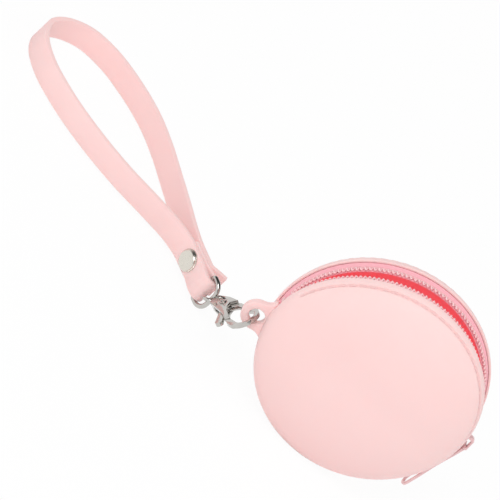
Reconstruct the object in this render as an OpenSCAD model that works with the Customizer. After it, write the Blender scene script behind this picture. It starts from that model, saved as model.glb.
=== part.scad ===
/* [Purse] */
// Diameter of the purse across its rim
purse_diameter = 82; // [70:1:100]
// Distance from the middle of the zipper to each rim
rim_offset = 4.2; // [4.1:0.1:5]
// Depth of each domed shell beyond its rim
dome_depth = 14.8; // [12:0.2:18]
// Thickness of the silicone over the domes
shell_wall = 1.6; // [1.2:0.1:2]
// Thickness of the silicone at the rims
rim_wall = 2; // [1.8:0.1:2.3]
// Depth of the flat that the rim stands on
foot_cut = 1.2; // [0.8:0.1:1.4]
// Height above and below the hinge line of the band that flexes
fold_half = 6; // [5.5:0.5:8]
// Distance from the hinge line down to the hinge web
web_drop = 6.6; // [6.4:0.1:7]
// Angle that the front gapes by with the zipper undone
gape_angle = 6.5; // [5:0.5:9]

/* [Eyelet tab] */
// Angle of the tab round the purse, from the slider's side
tab_angle = 198; // [196:1:204]
// Distance from the rim out to the middle of the hole
tab_reach = 3.4; // [3.2:0.1:4.2]
// Radius of the hole that the clasp hooks into
tab_hole_r = 3; // [2.8:0.1:3.2]
// Width of the silicone round the hole
tab_band = 2.7; // [2.2:0.1:3]
// Thickness of the tab
tab_thickness = 3; // [2.4:0.1:3.4]

/* [Zipper] */
// Pitch of the coil teeth
tooth_pitch = 1.6; // [1.4:0.1:2.4]
// Radius of one coil tooth
tooth_r = 0.55; // [0.45:0.05:0.6]
// Length of one coil tooth across the zipper
tooth_length = 2; // [1.6:0.1:2.1]
// Thickness of the zipper tape
tape_thickness = 0.5; // [0.3:0.05:0.6]
// Length of the slider along the zipper
slider_length = 8; // [7:0.5:9]
// Width of the slider across the zipper
slider_width = 7.4; // [7.2:0.1:7.6]
// Length of the puller from its pivot to its tip
puller_length = 28; // [22:1:32]
// Width of the puller at its loop
puller_width = 6; // [5:0.5:7]
// Thickness of the puller
puller_thickness = 1; // [0.8:0.1:1.1]
// Length of one stitch
stitch_length = 2.8; // [2:0.2:3.2]

/* [Clasp] */
// Radius of the hook, to the middle of its bar
hook_r = 4.8; // [4.7:0.1:5.2]
// Width of the hook's bar
hook_bar = 2.3; // [1.8:0.1:2.4]
// Thickness of the hook's bar
hook_thickness = 2.4; // [2.2:0.1:2.8]
// Thickness of the clasp's body
clasp_thickness = 3.8; // [3.6:0.1:4.4]
// Radius of the pin that the gate turns on
gate_pin_r = 0.7; // [0.5:0.05:0.8]
// Radius of the swivel's post
swivel_post_r = 0.9; // [0.7:0.05:1]
// Radius of the wire of the swivel's eye
eye_wire_r = 0.6; // [0.5:0.05:0.7]
// Radius of the hole through the swivel's eye
eye_hole_r = 1.8; // [1.7:0.1:2]

/* [Wrist strap] */
// Width of the strap
strap_width = 9.5; // [9:0.1:9.8]
// Thickness of the strap
strap_thickness = 2; // [1.6:0.1:2.1]
// Reach of the loop, from the ring's bar to the far end
loop_reach = 116; // [105:1:140]
// Width of the loop at its widest
loop_width = 48; // [42:1:56]
// Direction of the strap on the table, from the X axis
strap_azimuth = 129; // [125:1:133]
// Radius of the wire of the strap's ring
ring_wire_r = 0.9; // [0.8:0.05:1]
// Width of the ring between the middles of its two legs
ring_width = 11.9; // [11.8:0.1:12.6]
// Depth of the ring, from the middle of its bar to the middle of its end
ring_depth = 6.2; // [6.1:0.1:6.8]
// Distance from the ring's bar to the rivet
rivet_distance = 11.5; // [11:0.5:14]
// Radius of the rivet's cap
rivet_cap_r = 4.2; // [3.6:0.1:4.4]
// Radius of the rivet's post
rivet_post_r = 1.5; // [1.2:0.1:1.6]

/* [Hidden] */
$fn = 64;

// Overrun that lets a cut pass through a face
overrun = 1;
// Clearance between pieces that turn on each other
running_fit = 0.05;
// Clearance between pieces that only lie beside each other
side_gap = 0.1;

// Purse: straight steps that draw a dome, and the power of its curve, where 2 is an ellipse
dome_steps = 20;
dome_power = 2.13;
purse_r = purse_diameter / 2;
purse_centre_z = purse_r - foot_cut;
inner_r = purse_r - rim_wall;
inner_depth = dome_depth - shell_wall;
// A reach past every face of the purse, for cuts and half spaces
purse_beyond = purse_diameter;
web_angle = asin(web_drop / purse_r);

// Hair gap at the crease of the flexing band
crease_gap = 0.05;

// Stitch row: its rise over the rim along the dome, the groove it lies in and its thread
stitch_rise = 3.4;
stitch_groove_r = 0.4;
thread_r = 0.28;
stitch_gap = 1;
stitch_r = dome_radius(purse_r, dome_depth, stitch_rise);

// Zipper tape: how far it is tucked under the rim and how far it stops from the middle
tape_tuck = 2;
tape_inset = 0.9;
tape_clearance = 0.06;
tape_r = dome_radius(inner_r, inner_depth, tape_tuck) - tape_clearance;
tape_end_angle = 7;
// Chain: how far its teeth stop from the middle, and the angle that they run past the hinge line
tooth_inset = 0.35;
chain_end_angle = 2.2;
tooth_centre_r = tape_r + tooth_r;
tooth_step = tooth_pitch / tooth_centre_r * 180 / PI;
tooth_count = floor((180 + 2 * chain_end_angle) / tooth_step);
// Stops: their length along the zipper, height over the tape and half width
stop_length = 1.4;
stop_height = 1.3;
stop_half_width = 2.4;
stop_angle = 4.4;
stop_gap = 0.12;

// Slider: where it rests, its plates and flanges, and the post that parts the chains
slider_angle = 3.6;
plate_thickness = 0.8;
flange_thickness = 0.5;
tape_gap = 0.15;
flange_over_tape = 0.25;
tooth_gap = 0.22;
post_half_width = 0.2;
post_length = 1.8;
slider_half_angle = slider_length / 2 / purse_r * 180 / PI;
lower_plate_r = tape_r - tape_thickness - 4 * tape_gap;
upper_plate_r = tape_r + 2 * tooth_r + tooth_gap;
slider_top_r = upper_plate_r + plate_thickness;
// Slider cap: a bridge over the pivot of the puller
cap_half_length = 3.2;
cap_leg = 1.2;
cap_rise = 3.6;
cap_thickness = 0.8;
cap_half_width = 1.2;
cap_chamfer = 0.9;
puller_pivot_rise = 2.15;
puller_pivot_back = 1.3;
puller_bar_r = 0.5;
// Puller: angle from straight down towards the purse, window at the cap and loop at the tip
puller_lean = 10;
puller_window = 4.6;
puller_window_half = 1.55;
puller_neck_half = 2.75;
puller_loop_bar = 1;
puller_loop_length = 9;

// Tab: hole centre, and the half width of its root on the web
tab_centre_r = purse_r + tab_reach;
tab_outer_r = tab_hole_r + tab_band;
tab_root_half = 6.6;

// Clasp: lean of its plane from upright, and its pitch down from the level
clasp_lean = 26.6;
clasp_pitch = 44.7;
nose_angle = 118;
// Length from the middle of the hook to the body's back end, and places on the clasp as shares of it
clasp_length = 21.8;
pivot_share = [-0.7294, 0.1055];
knob_share = [-0.3486, -0.2752];
swivel_share = [-1, 0.1101];
slot_share = [-0.8532, -0.2982];
spring_share = [-0.8486, 0.0092];
pivot_place = clasp_length * pivot_share;
knob_place = clasp_length * knob_share;
body_back = clasp_length * swivel_share[0];
swivel_side = clasp_length * swivel_share[1];
spring_place = clasp_length * spring_share;
slot_start = clasp_length * slot_share[0];
slot_end = clasp_length * slot_share[1];
slot_reach = 10;
slot_half = 0.85;
hub_r = 2.1;
gate_thickness = 1.5;
swivel_head_r = 1.25;
swivel_head_depth = 1.5;
swivel_head_start = body_back + swivel_head_depth;
swivel_head_length = 1.1;
collar_r = 1.6;
collar_length = 1.1;
eye_reach = 3.9;
eye_place = body_back - eye_reach;
pin_head_r = 1.35;
pin_head_height = 0.35;
knob_r = 1.4;
spring_r = 0.6;
spring_bore_r = 0.35;
spring_length = 1;
eye_ring_r = eye_hole_r + eye_wire_r;
// Outlines of the arm that leads the bar into the body, of the body and of the gate, as shares of the length
arm_shares = [
  [-0.1606, -0.1468], [-0.4128, -0.0413], [-0.4128, -0.133], [-0.2523, -0.2064], [-0.1147, -0.2569]
];
body_shares = [
  [-1, 0.0229], [-0.8716, -0.0183], [-0.6422, -0.0734], [-0.4128, -0.133], [-0.2523, -0.2064],
  [-0.1927, -0.1422], [-0.4128, -0.0413], [-0.5229, 0.0459], [-0.578, 0.1468], [-0.4771, 0.2431],
  [-0.7339, 0.2569], [-1, 0.211]
];
gate_shares = [
  [-0.7294, 0.2018], [-0.4128, 0.2523], [-0.1376, 0.2385], [-0.1376, 0.1697], [-0.3853, 0.1651],
  [-0.5321, 0.0826], [-0.5688, 0.0092], [-0.2982, -0.2385], [-0.4037, -0.3028], [-0.6972, 0.0138],
  [-0.6697, 0.1055]
];

// Directions of the clasp's own length and width, and the places that they lead to
lean_up = [sin(clasp_lean), 0, cos(clasp_lean)];
clasp_x = sin(clasp_pitch) * lean_up - cos(clasp_pitch) * [0, 1, 0];
clasp_y = cos(clasp_pitch) * lean_up + sin(clasp_pitch) * [0, 1, 0];
tab_hole_centre = [tab_centre_r * cos(tab_angle), 0, purse_centre_z + tab_centre_r * sin(tab_angle)];
hook_centre = tab_hole_centre - hook_r * lean_up;
eye_centre = hook_centre + eye_place * clasp_x + swivel_side * clasp_y;

// Strap: its layers at the rivet, its fold round the bar and its free tail
layer_gap = 0.15;
layer_pitch = strap_thickness + layer_gap;
fold_clearance = 0.15;
fold_r = ring_wire_r + fold_clearance + strap_thickness / 2;
fold_side = layer_pitch / 2;
rivet_flat = 4.5;
rivet_lead = 4.3;
hem_end = 5.5;
// Short step that keeps the course straight where the layers lie on each other
flat_step = 1;
tail_points = [[2.1, -7.5], [4.4, -5]];
// Corner radius of the ring
ring_corner_r = 4.1;
// Height that the strap's far end clears the table by
table_gap = 0.1;
strap_tilt = asin((eye_centre[2] - strap_width / 2 - table_gap) / (loop_reach + strap_thickness));
// Longest straight step along the strap's curves
strap_step = 2.6;
// The loop's course from rivet to rivet, as shares of its reach and width
loop_shares = [
  [0.195, -0.062], [0.31, -0.12], [0.44, -0.18], [0.56, -0.232], [0.68, -0.25], [0.81, -0.192],
  [0.905, -0.092], [0.97, 0.065], [0.99, 0.31], [0.96, 0.56], [0.89, 0.7], [0.795, 0.755],
  [0.67, 0.72], [0.52, 0.592], [0.39, 0.415], [0.29, 0.23], [0.205, 0.09]
];
// Rivet: post hole clearance, flange, crown and bevel of the cap, and base plate
rivet_fit = 0.05;
flange_height = 0.5;
crown_height = 1.5;
crown_r = 3.4;
base_r = 3.8;
base_height = 0.8;

silicone = [0.98, 0.83, 0.82];
silicone_edge = [0.97, 0.8, 0.79];
tape_colour = [0.93, 0.66, 0.69];
tooth_colour = [0.96, 0.8, 0.81];
nickel = [0.78, 0.77, 0.75];
thread_colour = [0.99, 0.88, 0.87];

// Radius of a dome at a height over its rim
function dome_radius(rim_r, depth, height) =
  rim_r * pow(1 - pow(height / depth, dome_power), 1 / dome_power);

// Points of a dome from its rim to its top
function dome_outline(rim_r, depth) = [
  for (step = [0:dome_steps])
    let (angle = 90 * step / dome_steps)
    [rim_r * pow(cos(angle), 2 / dome_power), rim_offset + depth * pow(sin(angle), 2 / dome_power)]
];

function backwards(list) = [for (index = [len(list) - 1:-1:0]) list[index]];

// Tangent at one point of an open course, weighted by the distances to its neighbours
function course_tangent(points, index) =
  let (
    last = len(points) - 1,
    before = points[max(index - 1, 0)],
    here = points[index],
    after = points[min(index + 1, last)],
    gap_before = norm(here - before),
    gap_after = norm(after - here)
  )
  index == 0 ? (after - here) / gap_after :
  index == last ? (here - before) / gap_before :
  ((here - before) * gap_after / gap_before + (after - here) * gap_before / gap_after)
    / (gap_before + gap_after);

// A point and its tangent at a share of the way between two neighbours
function course_place(points, index, share) =
  let (
    start = points[index],
    end = points[index + 1],
    gap = norm(end - start),
    out = gap * course_tangent(points, index),
    into = gap * course_tangent(points, index + 1),
    square = share * share,
    cube_share = square * share
  )
  [
    (2 * cube_share - 3 * square + 1) * start + (cube_share - 2 * square + share) * out
      + (3 * square - 2 * cube_share) * end + (cube_share - square) * into,
    (6 * square - 6 * share) * start + (3 * square - 4 * share + 1) * out
      + (6 * share - 6 * square) * end + (3 * square - 2 * share) * into
  ];

// A smooth course through the points, as places and unit tangents
function smooth_course(points) = [
  for (index = [0:len(points) - 2])
    let (steps = max(2, ceil(norm(points[index + 1] - points[index]) / strap_step)))
    for (step = [0:steps - (index == len(points) - 2 ? 0 : 1)])
      let (place = course_place(points, index, step / steps))
      [place[0], place[1] / norm(place[1])]
];

function left_of(direction) = [-direction[1], direction[0]];

// Closed outline of a strip that follows a course
function strip_outline(course, thickness) = concat(
  [for (place = course) place[0] + thickness / 2 * left_of(place[1])],
  backwards([for (place = course) place[0] - thickness / 2 * left_of(place[1])])
);

// Row frame to the purse's own frame: X along the hinge line, Y up, Z out of the front
module on_purse() {
  translate([0, 0, purse_centre_z]) rotate([90, 0, 0]) children();
}

module on_flap() {
  on_purse() rotate([gape_angle, 0, 0]) children();
}

module on_slider() {
  on_purse() rotate([0, 0, slider_angle]) children();
}

// The clasp's own frame: X to the hook's far end, Y to the gate, Z across its thickness
module on_clasp() {
  translate(hook_centre) rotate([0, clasp_lean, 0]) rotate([90, 0, -90])
    rotate([0, 0, clasp_pitch]) children();
}

// The ring's own frame: X from the swivel's eye to the bar, Z up
module on_ring() {
  translate(eye_centre) rotate([0, 0, strap_azimuth]) children();
}

// The strap's own frame: X from the ring's bar along the strap, Z across its width
module on_strap() {
  on_ring() translate([ring_depth, 0, 0]) rotate([0, strap_tilt, 0])
    translate([0, -fold_side, 0]) children();
}

module ring_sector(low_r, high_r, low_z, high_z, start, sweep) {
  rotate([0, 0, start]) rotate_extrude(angle = sweep)
    translate([low_r, low_z]) square([high_r - low_r, high_z - low_z]);
}

// Half of the purse's space above or below a level in the purse's own frame
module space_above(level) {
  translate([-purse_beyond, level, -purse_beyond])
    cube([2 * purse_beyond, purse_beyond, 2 * purse_beyond]);
}

module space_under_foot() {
  translate([-purse_beyond, -purse_centre_z - purse_beyond, -purse_beyond])
    cube([2 * purse_beyond, purse_beyond, 2 * purse_beyond]);
}

module stitch_groove() {
  rotate_extrude(angle = 180)
    translate([stitch_r, rim_offset + stitch_rise]) circle(stitch_groove_r);
}

module front_dome() {
  difference() {
    rotate_extrude()
      polygon(concat(dome_outline(purse_r, dome_depth), backwards(dome_outline(inner_r, inner_depth))));
    stitch_groove();
  }
}

// Slice of the flexing band on one side of its crease, where side is 1 above it and -1 below it
module fold_slice(side) {
  crease_shift = purse_beyond * tan(gape_angle / 2);
  crease = side * crease_gap / 2;
  intersection() {
    front_dome();
    rotate([90, 0, 90]) translate([0, 0, -purse_beyond]) linear_extrude(2 * purse_beyond)
      polygon([
        [crease, 0],
        [crease + side * crease_shift, purse_beyond],
        [side * fold_half, purse_beyond],
        [side * fold_half, 0]
      ]);
  }
}

module stitches() {
  stitch_step = (stitch_length + stitch_gap) / stitch_r * 180 / PI;
  stitch_sweep = stitch_length / stitch_r * 180 / PI;
  first = asin(fold_half / purse_r) + stitch_step - stitch_sweep;
  count = floor((180 - 2 * first) / stitch_step);
  for (index = [0:count - 1])
    rotate([0, 0, first + index * stitch_step]) rotate_extrude(angle = stitch_sweep)
      translate([stitch_r, rim_offset + stitch_rise]) circle(thread_r, $fn = 16);
}

module tape() {
  ring_sector(tape_r - tape_thickness, tape_r, tape_inset, rim_offset + tape_tuck,
    -tape_end_angle, 180 + 2 * tape_end_angle);
}

// Coil teeth along the tape, where shift is the share of a pitch that they start late by
module chain(shift) {
  for (index = [0:tooth_count - 1])
    rotate([0, 0, (index + shift) * tooth_step - chain_end_angle])
      translate([tooth_centre_r, 0, tooth_inset]) cylinder(h = tooth_length, r = tooth_r, $fn = 16);
}

module stop_block(angle, low_z, high_z) {
  stop_sweep = stop_length / tape_r * 180 / PI;
  ring_sector(tape_r + stop_gap, tape_r + stop_gap + stop_height, low_z, high_z,
    angle - stop_sweep / 2, stop_sweep);
}

module back_shell() {
  color(silicone) on_purse() difference() {
    mirror([0, 0, 1]) front_dome();
    space_under_foot();
  }
}

module hinge_web() {
  color(silicone_edge) on_purse() difference() {
    ring_sector(inner_r, purse_r, -rim_offset, rim_offset, 180 + web_angle, 180 - 2 * web_angle);
    space_under_foot();
  }
}

module front_pocket() {
  color(silicone) on_purse() difference() {
    front_dome();
    space_above(-fold_half);
    space_under_foot();
  }
}

module fold_band() {
  color(silicone_edge) on_purse() union() {
    fold_slice(-1);
    rotate([gape_angle, 0, 0]) fold_slice(1);
  }
}

module front_flap() {
  color(silicone) on_flap() intersection() {
    front_dome();
    space_above(fold_half);
  }
}

module eyelet_tab() {
  color(silicone_edge) on_purse() difference() {
    rotate([0, 0, tab_angle]) translate([0, 0, -tab_thickness / 2]) linear_extrude(tab_thickness) union() {
      translate([tab_centre_r, 0]) circle(tab_outer_r);
      polygon([
        [inner_r, -tab_root_half],
        [purse_r, -tab_root_half],
        [tab_centre_r, -tab_outer_r],
        [tab_centre_r, tab_outer_r],
        [purse_r, tab_root_half],
        [inner_r, tab_root_half]
      ]);
    }
    cylinder(h = 2 * tab_thickness, r = purse_r, center = true);
    rotate([0, 0, tab_angle]) translate([tab_centre_r, 0, 0])
      cylinder(h = 2 * tab_thickness, r = tab_hole_r, center = true);
  }
}

module back_tape() {
  color(tape_colour) on_purse() mirror([0, 0, 1]) tape();
}

module front_tape() {
  color(tape_colour) on_flap() tape();
}

module back_chain() {
  color(tooth_colour) on_purse() mirror([0, 0, 1]) chain(0);
}

module front_chain() {
  front_shift_share = 0.5;
  color(tooth_colour) on_flap() chain(front_shift_share);
}

module back_stitching() {
  color(thread_colour) on_purse() mirror([0, 0, 1]) stitches();
}

module front_stitching() {
  color(thread_colour) on_flap() stitches();
}

module open_end_stop() {
  color(nickel) on_purse() stop_block(-stop_angle, -stop_half_width, stop_half_width);
}

module closed_end_stops() {
  color(nickel) on_purse() union() {
    stop_block(180 + stop_angle, tooth_inset, stop_half_width);
    stop_block(180 + stop_angle, -stop_half_width, -tooth_inset);
  }
}

module slider_body() {
  half = slider_width / 2;
  sweep = 2 * slider_half_angle;
  post_sweep = post_length / purse_r * 180 / PI;
  flange_low_r = tape_r - tape_thickness - tape_gap;
  flange_high_r = tape_r + flange_over_tape;
  color(nickel) on_slider() union() {
    ring_sector(lower_plate_r - plate_thickness, lower_plate_r, -half, half, -slider_half_angle, sweep);
    ring_sector(upper_plate_r, slider_top_r, -half, half, -slider_half_angle, sweep);
    for (low_z = [-half, half - flange_thickness]) {
      ring_sector(lower_plate_r - plate_thickness, flange_low_r, low_z, low_z + flange_thickness,
        -slider_half_angle, sweep);
      ring_sector(flange_high_r, slider_top_r, low_z, low_z + flange_thickness,
        -slider_half_angle, sweep);
    }
    ring_sector(lower_plate_r - plate_thickness, slider_top_r, -post_half_width, post_half_width,
      slider_half_angle - post_sweep, post_sweep);
  }
}

module slider_cap() {
  top = slider_top_r + cap_rise;
  low = slider_top_r - plate_thickness / 2;
  color(nickel) on_slider() difference() {
    translate([0, 0, -cap_half_width]) linear_extrude(2 * cap_half_width) difference() {
      polygon([
        [low, -cap_half_length],
        [top - cap_chamfer, -cap_half_length],
        [top, cap_chamfer - cap_half_length],
        [top, cap_half_length - cap_chamfer],
        [top - cap_chamfer, cap_half_length],
        [low, cap_half_length]
      ]);
      translate([low - overrun, cap_leg - cap_half_length])
        square([top - cap_thickness - low + overrun, 2 * (cap_half_length - cap_leg)]);
    }
    cylinder(h = slider_width, r = slider_top_r, center = true);
  }
}

module slider_puller() {
  plate_end = puller_length - puller_width / 2;
  slot_half_width = puller_width / 2 - puller_loop_bar;
  slot_low = puller_length - puller_loop_length + slot_half_width;
  color(nickel) on_slider()
    translate([slider_top_r + puller_pivot_rise, -puller_pivot_back, 0])
    rotate([0, 0, -90 - puller_lean - slider_angle]) union() {
      cylinder(h = 2 * puller_neck_half, r = puller_bar_r, center = true);
      rotate([90, 0, 0]) linear_extrude(puller_thickness, center = true) difference() {
        union() {
          translate([0, -puller_neck_half]) square([puller_window + overrun, 2 * puller_neck_half]);
          polygon([
            [puller_window, -puller_neck_half],
            [plate_end, -puller_width / 2],
            [plate_end, puller_width / 2],
            [puller_window, puller_neck_half]
          ]);
          translate([plate_end, 0]) circle(puller_width / 2);
        }
        translate([-overrun, -puller_window_half]) square([puller_window + overrun, 2 * puller_window_half]);
        translate([slot_low, -slot_half_width]) square([plate_end - slot_low, 2 * slot_half_width]);
        for (end = [slot_low, plate_end])
          translate([end, 0]) circle(slot_half_width);
      }
    }
}

module clasp_hook() {
  hook_inner_r = hook_r - hook_bar / 2;
  hook_outer_r = hook_r + hook_bar / 2;
  color(nickel) on_clasp() difference() {
    union() {
      ring_sector(hook_inner_r, hook_outer_r, -hook_thickness / 2, hook_thickness / 2, -90, 90 + nose_angle);
      translate([0, 0, -hook_thickness / 2]) linear_extrude(hook_thickness)
        polygon(concat([[0, -hook_outer_r], [0, -hook_inner_r]], clasp_length * arm_shares));
      translate([0, 0, -clasp_thickness / 2]) linear_extrude(clasp_thickness)
        polygon(clasp_length * body_shares);
    }
    translate([slot_start, -slot_reach, -slot_half])
      cube([slot_end - slot_start, 2 * slot_reach, 2 * slot_half]);
    translate([pivot_place[0], pivot_place[1], 0])
      cylinder(h = 2 * clasp_thickness, r = gate_pin_r, center = true);
    translate([body_back - overrun, swivel_side, 0]) rotate([0, 90, 0])
      cylinder(h = swivel_head_start - body_back + 2 * overrun, r = swivel_post_r + running_fit);
    translate([swivel_head_start - running_fit, swivel_side, 0]) rotate([0, 90, 0])
      cylinder(h = swivel_head_length + 2 * running_fit, r = swivel_head_r + running_fit);
  }
}

module clasp_gate() {
  color(nickel) on_clasp() difference() {
    translate([0, 0, -gate_thickness / 2]) union() {
      translate([pivot_place[0], pivot_place[1], 0]) cylinder(h = gate_thickness, r = hub_r);
      translate([knob_place[0], knob_place[1], 0]) cylinder(h = gate_thickness, r = knob_r);
      linear_extrude(gate_thickness) polygon(clasp_length * gate_shares);
    }
    translate([pivot_place[0], pivot_place[1], 0])
      cylinder(h = 2 * clasp_thickness, r = gate_pin_r + running_fit, center = true);
  }
}

module gate_pin() {
  color(nickel) on_clasp() translate([pivot_place[0], pivot_place[1], 0]) union() {
    cylinder(h = clasp_thickness, r = gate_pin_r, center = true);
    for (side = [-1, 1])
      translate([0, 0, side * (clasp_thickness + pin_head_height) / 2])
        cylinder(h = pin_head_height, r = pin_head_r, center = true);
  }
}

module gate_spring() {
  color(nickel) on_clasp() translate([spring_place[0], spring_place[1], 0]) rotate([0, 90, 0]) difference() {
    cylinder(h = spring_length, r = spring_r);
    translate([0, 0, -overrun]) cylinder(h = spring_length + 2 * overrun, r = spring_bore_r);
  }
}

module swivel_eye() {
  post_end = swivel_head_start + swivel_head_length;
  collar_start = body_back - side_gap - collar_length;
  // Turn of the eye about the swivel's length that lets the upright ring wire pass
  eye_turn = 180 - atan2(clasp_y[2], sin(clasp_lean));
  color(nickel) on_clasp() union() {
    translate([collar_start, swivel_side, 0]) rotate([0, 90, 0]) {
      cylinder(h = collar_length, r = collar_r);
      cylinder(h = post_end - collar_start, r = swivel_post_r);
    }
    translate([swivel_head_start, swivel_side, 0]) rotate([0, 90, 0])
      cylinder(h = swivel_head_length, r = swivel_head_r);
    translate([eye_place, swivel_side, 0]) rotate([eye_turn, 0, 0]) rotate_extrude()
      translate([eye_ring_r, 0]) circle(eye_wire_r, $fn = 32);
  }
}

module wire_arc(turn_r, sweep) {
  rotate_extrude(angle = sweep) translate([turn_r, 0]) circle(ring_wire_r, $fn = 32);
}

module strap_ring() {
  half = ring_width / 2;
  leg = ring_depth - ring_corner_r;
  straight = 2 * (half - ring_corner_r);
  color(nickel) on_ring() rotate([90, 0, 0]) union() {
    translate([ring_depth, 0, 0]) rotate([90, 0, 0])
      cylinder(h = ring_width, r = ring_wire_r, center = true);
    for (side = [-1, 1]) {
      translate([ring_depth, side * half, 0]) sphere(ring_wire_r);
      translate([ring_corner_r, side * half, 0]) rotate([0, 90, 0]) cylinder(h = leg, r = ring_wire_r);
    }
    rotate([90, 0, 0]) cylinder(h = straight, r = ring_wire_r, center = true);
    translate([ring_corner_r, half - ring_corner_r, 0]) rotate([0, 0, 90]) wire_arc(ring_corner_r, 90);
    translate([ring_corner_r, ring_corner_r - half, 0]) rotate([0, 0, 180]) wire_arc(ring_corner_r, 90);
  }
}

// Places of one straight layer at the rivet, from its ring end to its loop end
function layer_points(side, end) = [
  for (place = [-rivet_lead, flat_step - rivet_lead, end - flat_step, end])
    [rivet_distance + place, side * layer_pitch]
];

// Course of the strap's middle line, from its free tail round the loop and the bar to its hem
function strap_course() = concat(
  tail_points,
  layer_points(-1, rivet_flat),
  [for (share = loop_shares) [share[0] * loop_reach, share[1] * loop_width]],
  backwards(layer_points(1, rivet_flat)),
  [for (angle = [90:30:270]) [fold_r * cos(angle), fold_side + fold_r * sin(angle)]],
  layer_points(0, hem_end)
);

module wrist_strap() {
  color(silicone) on_strap() difference() {
    linear_extrude(strap_width, center = true)
      polygon(strip_outline(smooth_course(strap_course()), strap_thickness));
    translate([rivet_distance, 0, 0]) rotate([90, 0, 0])
      cylinder(h = 4 * layer_pitch, r = rivet_post_r + rivet_fit, center = true);
  }
}

module rivet_cap() {
  color(nickel) on_strap() translate([rivet_distance, layer_pitch + strap_thickness / 2, 0])
    rotate([-90, 0, 0]) rotate_extrude() polygon([
      [0, 0], [rivet_cap_r, 0], [rivet_cap_r, flange_height], [crown_r + flange_height, flange_height],
      [crown_r, crown_height], [0, crown_height]
    ]);
}

module rivet_post() {
  post_top = layer_pitch + strap_thickness / 2;
  color(nickel) on_strap() translate([rivet_distance, 0, 0]) rotate([-90, 0, 0]) union() {
    translate([0, 0, -post_top]) cylinder(h = 2 * post_top, r = rivet_post_r);
    translate([0, 0, -post_top - base_height]) cylinder(h = base_height, r = base_r);
  }
}

back_shell();
hinge_web();
front_pocket();
fold_band();
front_flap();
eyelet_tab();
back_tape();
front_tape();
back_chain();
front_chain();
back_stitching();
front_stitching();
open_end_stop();
closed_end_stops();
slider_body();
slider_cap();
slider_puller();
clasp_hook();
clasp_gate();
gate_pin();
gate_spring();
swivel_eye();
strap_ring();
wrist_strap();
rivet_cap();
rivet_post();
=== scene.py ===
import math

import bpy
from mathutils import Matrix, Vector


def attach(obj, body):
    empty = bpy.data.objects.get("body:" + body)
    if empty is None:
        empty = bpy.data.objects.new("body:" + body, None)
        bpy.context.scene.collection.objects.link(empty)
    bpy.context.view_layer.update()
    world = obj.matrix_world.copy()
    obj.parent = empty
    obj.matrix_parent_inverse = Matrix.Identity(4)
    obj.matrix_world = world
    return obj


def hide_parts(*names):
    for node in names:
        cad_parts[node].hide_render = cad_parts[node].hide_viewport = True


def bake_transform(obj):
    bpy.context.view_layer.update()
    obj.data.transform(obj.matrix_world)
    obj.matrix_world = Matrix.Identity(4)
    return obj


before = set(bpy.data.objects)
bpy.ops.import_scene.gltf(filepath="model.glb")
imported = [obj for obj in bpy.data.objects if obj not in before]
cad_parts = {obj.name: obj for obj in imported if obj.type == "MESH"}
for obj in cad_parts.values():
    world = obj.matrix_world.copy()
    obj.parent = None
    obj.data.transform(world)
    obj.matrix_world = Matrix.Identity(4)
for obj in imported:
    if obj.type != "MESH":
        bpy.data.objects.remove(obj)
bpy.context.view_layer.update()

MM = 0.001


# Camera: a long lens that looks down on the purse as in the product picture, rolled so that the strap runs up and
# to the left. Its frame is 173.6 mm wide at the purse.
look_at = Vector((-57.5, 13.7, 36.1)) * MM
toward_camera = Vector((-0.234, -0.857, 0.459)).normalized()
picture_right = Vector((0.733, 0.155, 0.663))
picture_width = 173.6 * MM
camera_distance = 4.0
picture_up = toward_camera.cross(picture_right).normalized()
picture_right = picture_up.cross(toward_camera)

bpy.ops.object.camera_add()
camera = bpy.context.object
camera.matrix_world = Matrix.Translation(look_at + camera_distance * toward_camera) @ Matrix(
    (picture_right, picture_up, toward_camera)).transposed().to_4x4()
camera.data.lens = camera.data.sensor_width * camera_distance / picture_width
camera.data.clip_end = 50
bpy.context.scene.camera = camera
bpy.context.scene.view_settings.view_transform = "Standard"


# Floor, room and lamps: a plain white table top in a white room, with one large soft lamp over the camera's left
# shoulder and a weaker one from the right. The table keeps the purse's soft shadow.
def display(red, green, blue):
    """A colour read off a screen, from 0 to 255, as the linear colour that a shader takes."""
    parts = [value / 255 for value in (red, green, blue)]
    return [part / 12.92 if part <= 0.04045 else ((part + 0.055) / 1.055) ** 2.4 for part in parts] + [1]


def set_inputs(node, values):
    """Sets some of a node's inputs."""
    for label, value in values.items():
        node.inputs[label].default_value = value


def new_material(name):
    """An empty material with its Principled shader: the material, its nodes, its links and that shader."""
    material = bpy.data.materials.new(name)
    material.use_nodes = True
    nodes = material.node_tree.nodes
    return material, nodes, material.node_tree.links, nodes["Principled BSDF"]


def maths(nodes, operation, second=0.5):
    """A maths node with a number on its second input."""
    node = nodes.new("ShaderNodeMath")
    node.operation = operation
    node.inputs[1].default_value = second
    return node


def seen_directly(nodes, links):
    """An output that is 1 for what the camera sees, also in metal or through glass, and 0 for light on the purse."""
    ray = nodes.new("ShaderNodeLightPath")
    seen = ray.outputs["Is Camera Ray"]
    for kind in ("Is Glossy Ray", "Is Transmission Ray"):
        either = maths(nodes, "MAXIMUM")
        links.new(seen, either.inputs[0])
        links.new(ray.outputs[kind], either.inputs[1])
        seen = either.outputs[0]
    return seen


def show_instead(nodes, links, share, lit, shown, output):
    """Mixes the shader that is shown over the one that lights the purse, by a share."""
    mix = nodes.new("ShaderNodeMixShader")
    links.new(share, mix.inputs["Fac"])
    links.new(lit.outputs[0], mix.inputs[1])
    links.new(shown.outputs[0], mix.inputs[2])
    links.new(mix.outputs[0], output.inputs["Surface"])


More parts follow.
